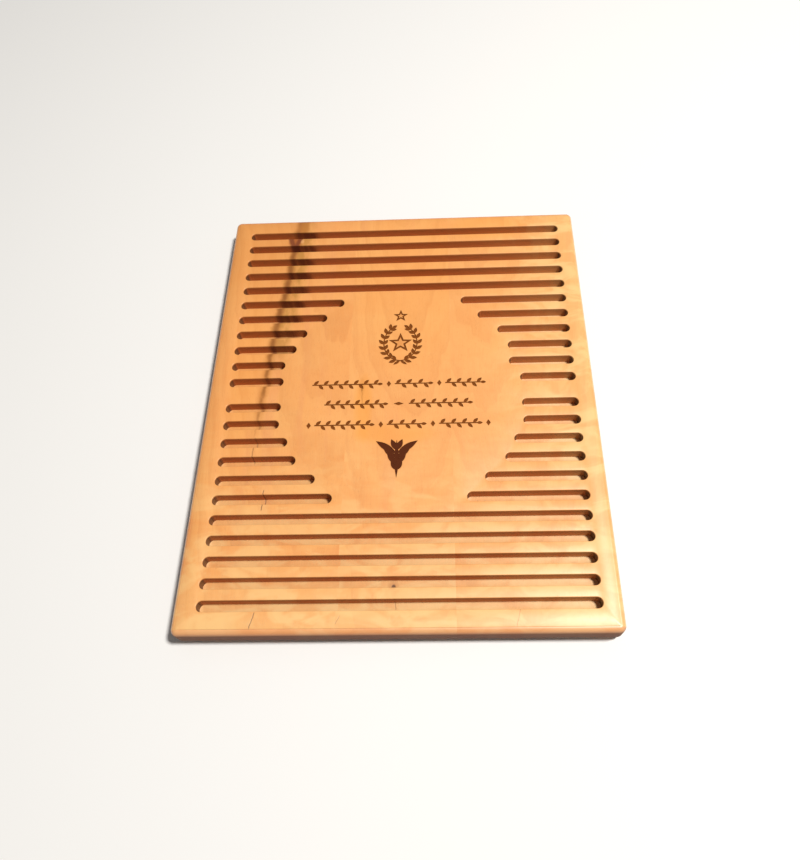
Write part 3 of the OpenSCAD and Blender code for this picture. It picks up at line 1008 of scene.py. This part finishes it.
EXTRAS = {
    "left": [("line", -74.3, -80.0, -74.2, -67.0, 0.35, 0.85), ("line", -73.9, -149.0, -71.9, -140.2, 0.40, 0.65),
             ("line", -83.2, -46.0, -82.6, -31.5, 0.55, 0.45), ("glow", -92.0, 20.0, 9.0, 46.0, 0.22)],
    "center": [("knot", -22.5, 3.9, 0.75, 3.1, 0.95), ("line", -21.9, -9.0, -22.4, 1.0, 0.5, 0.5),
               ("glow", -21.5, -10.0, 4.5, 17.0, 0.50), ("glow", -4.0, -30.0, 17.0, 5.5, 0.42),
               ("knot", -1.9, -124.6, 1.1, 1.5, 0.85), ("line", -0.5, -137.5, -0.9, -133.5, 0.40, 0.40),
               ("line", -31.5, -149.0, -28.3, -142.5, 0.3, 0.35), ("glow", 6.0, 96.0, 30.0, 60.0, 0.14)],
    "right": [("line", 60.0, -149.0, 62.5, -139.5, 0.28, 0.30), ("glow", 58.0, 140.0, 20.0, 9.0, 0.30)],
}
KINDS = {
    "left": dict(pith=(-40.0, -75.0), tone=-0.05, seed=11.3, streak=True),
    "center": dict(pith=(3.0, -42.0), tone=0.0, seed=4.7),
    "right": dict(pith=(48.0, -66.0), tone=0.03, seed=27.9),
}
for side, ob in STAVES.items():
    ob.data.materials.append(wood("wood_" + side, extras=EXTRAS[side], **KINDS[side]))
    ob.data.materials.append(wood("burnt_" + side, burnt=True, **{k: v for k, v in KINDS[side].items() if k != "streak"}))
rubber_mat = rubber("rubber_black")
for ob in FEET.values():
    ob.data.materials.append(rubber_mat)
WASHERS.data.materials.append(steel("steel_washer", (0.60, 0.60, 0.60)))
SCREWS.data.materials.append(steel("steel_screw", (0.66, 0.67, 0.70)))

# -------------------------------------------------------------- pieces and body
for side, ob in STAVES.items():
    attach(ob, "root")
    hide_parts("stave_" + side)
for node, ob in FEET.items():
    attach(ob, "root")
    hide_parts(node)
for ob, node in ((WASHERS, "foot_washers"), (SCREWS, "foot_screws")):
    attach(ob, "root")
    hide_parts(node)

# ---------------------------------------------------------------- floor and light
fm = bpy.data.meshes.new("floor")
fb = bmesh.new()
bmesh.ops.create_grid(fb, x_segments=1, y_segments=1, size=6.0)
fb.to_mesh(fm)
fb.free()
floor = bpy.data.objects.new("floor", fm)
scene.collection.objects.link(floor)
g = Graph("floor_pale")
g.principled(Base_Color=(0.90, 0.90, 0.90), Roughness=0.75)
fm.materials.append(g.mat)

world = bpy.data.worlds.new("studio")
scene.world = world
world.use_nodes = True
bg = world.node_tree.nodes["Background"]
bg.inputs[0].default_value = (1.0, 0.985, 0.96, 1.0)
bg.inputs[1].default_value = 0.16


def area(name, at, target, size, power, colour):
    data = bpy.data.lights.new(name, "AREA")
    data.shape, data.size, data.energy, data.color = "DISK", size, power, colour
    ob = bpy.data.objects.new(name, data)
    ob.location = at
    ob.rotation_euler = (Vector(target) - Vector(at)).to_track_quat("-Z", "Y").to_euler()
    scene.collection.objects.link(ob)
    return ob


area("key", (0.84, -0.05, 1.90), (0.0, 0.0, 0.0), 0.30, 46.5, (1.0, 0.965, 0.91))

scene.view_settings.view_transform = "Standard"
scene.view_settings.look = "None"

# ------------------------------------------------------------------------ camera
cam_data = bpy.data.cameras.new("camera")
cam_data.sensor_width = 36.0
cam_data.lens = 30.1426
cam_data.shift_x = -0.022706
cam = bpy.data.objects.new("camera", cam_data)
scene.collection.objects.link(cam)
right_, up_, back_ = (0.999156, 0.001110, -0.041068), (0.018826, 0.876137, 0.481694), (0.036516, -0.482060, 0.875377)
rot = Matrix((right_, up_, back_)).transposed().to_4x4()
cam.matrix_world = Matrix.Translation((0.029051, -0.242748, Z1 * MM + 0.390036)) @ rot
cam_data.clip_start = 0.01
scene.camera = cam
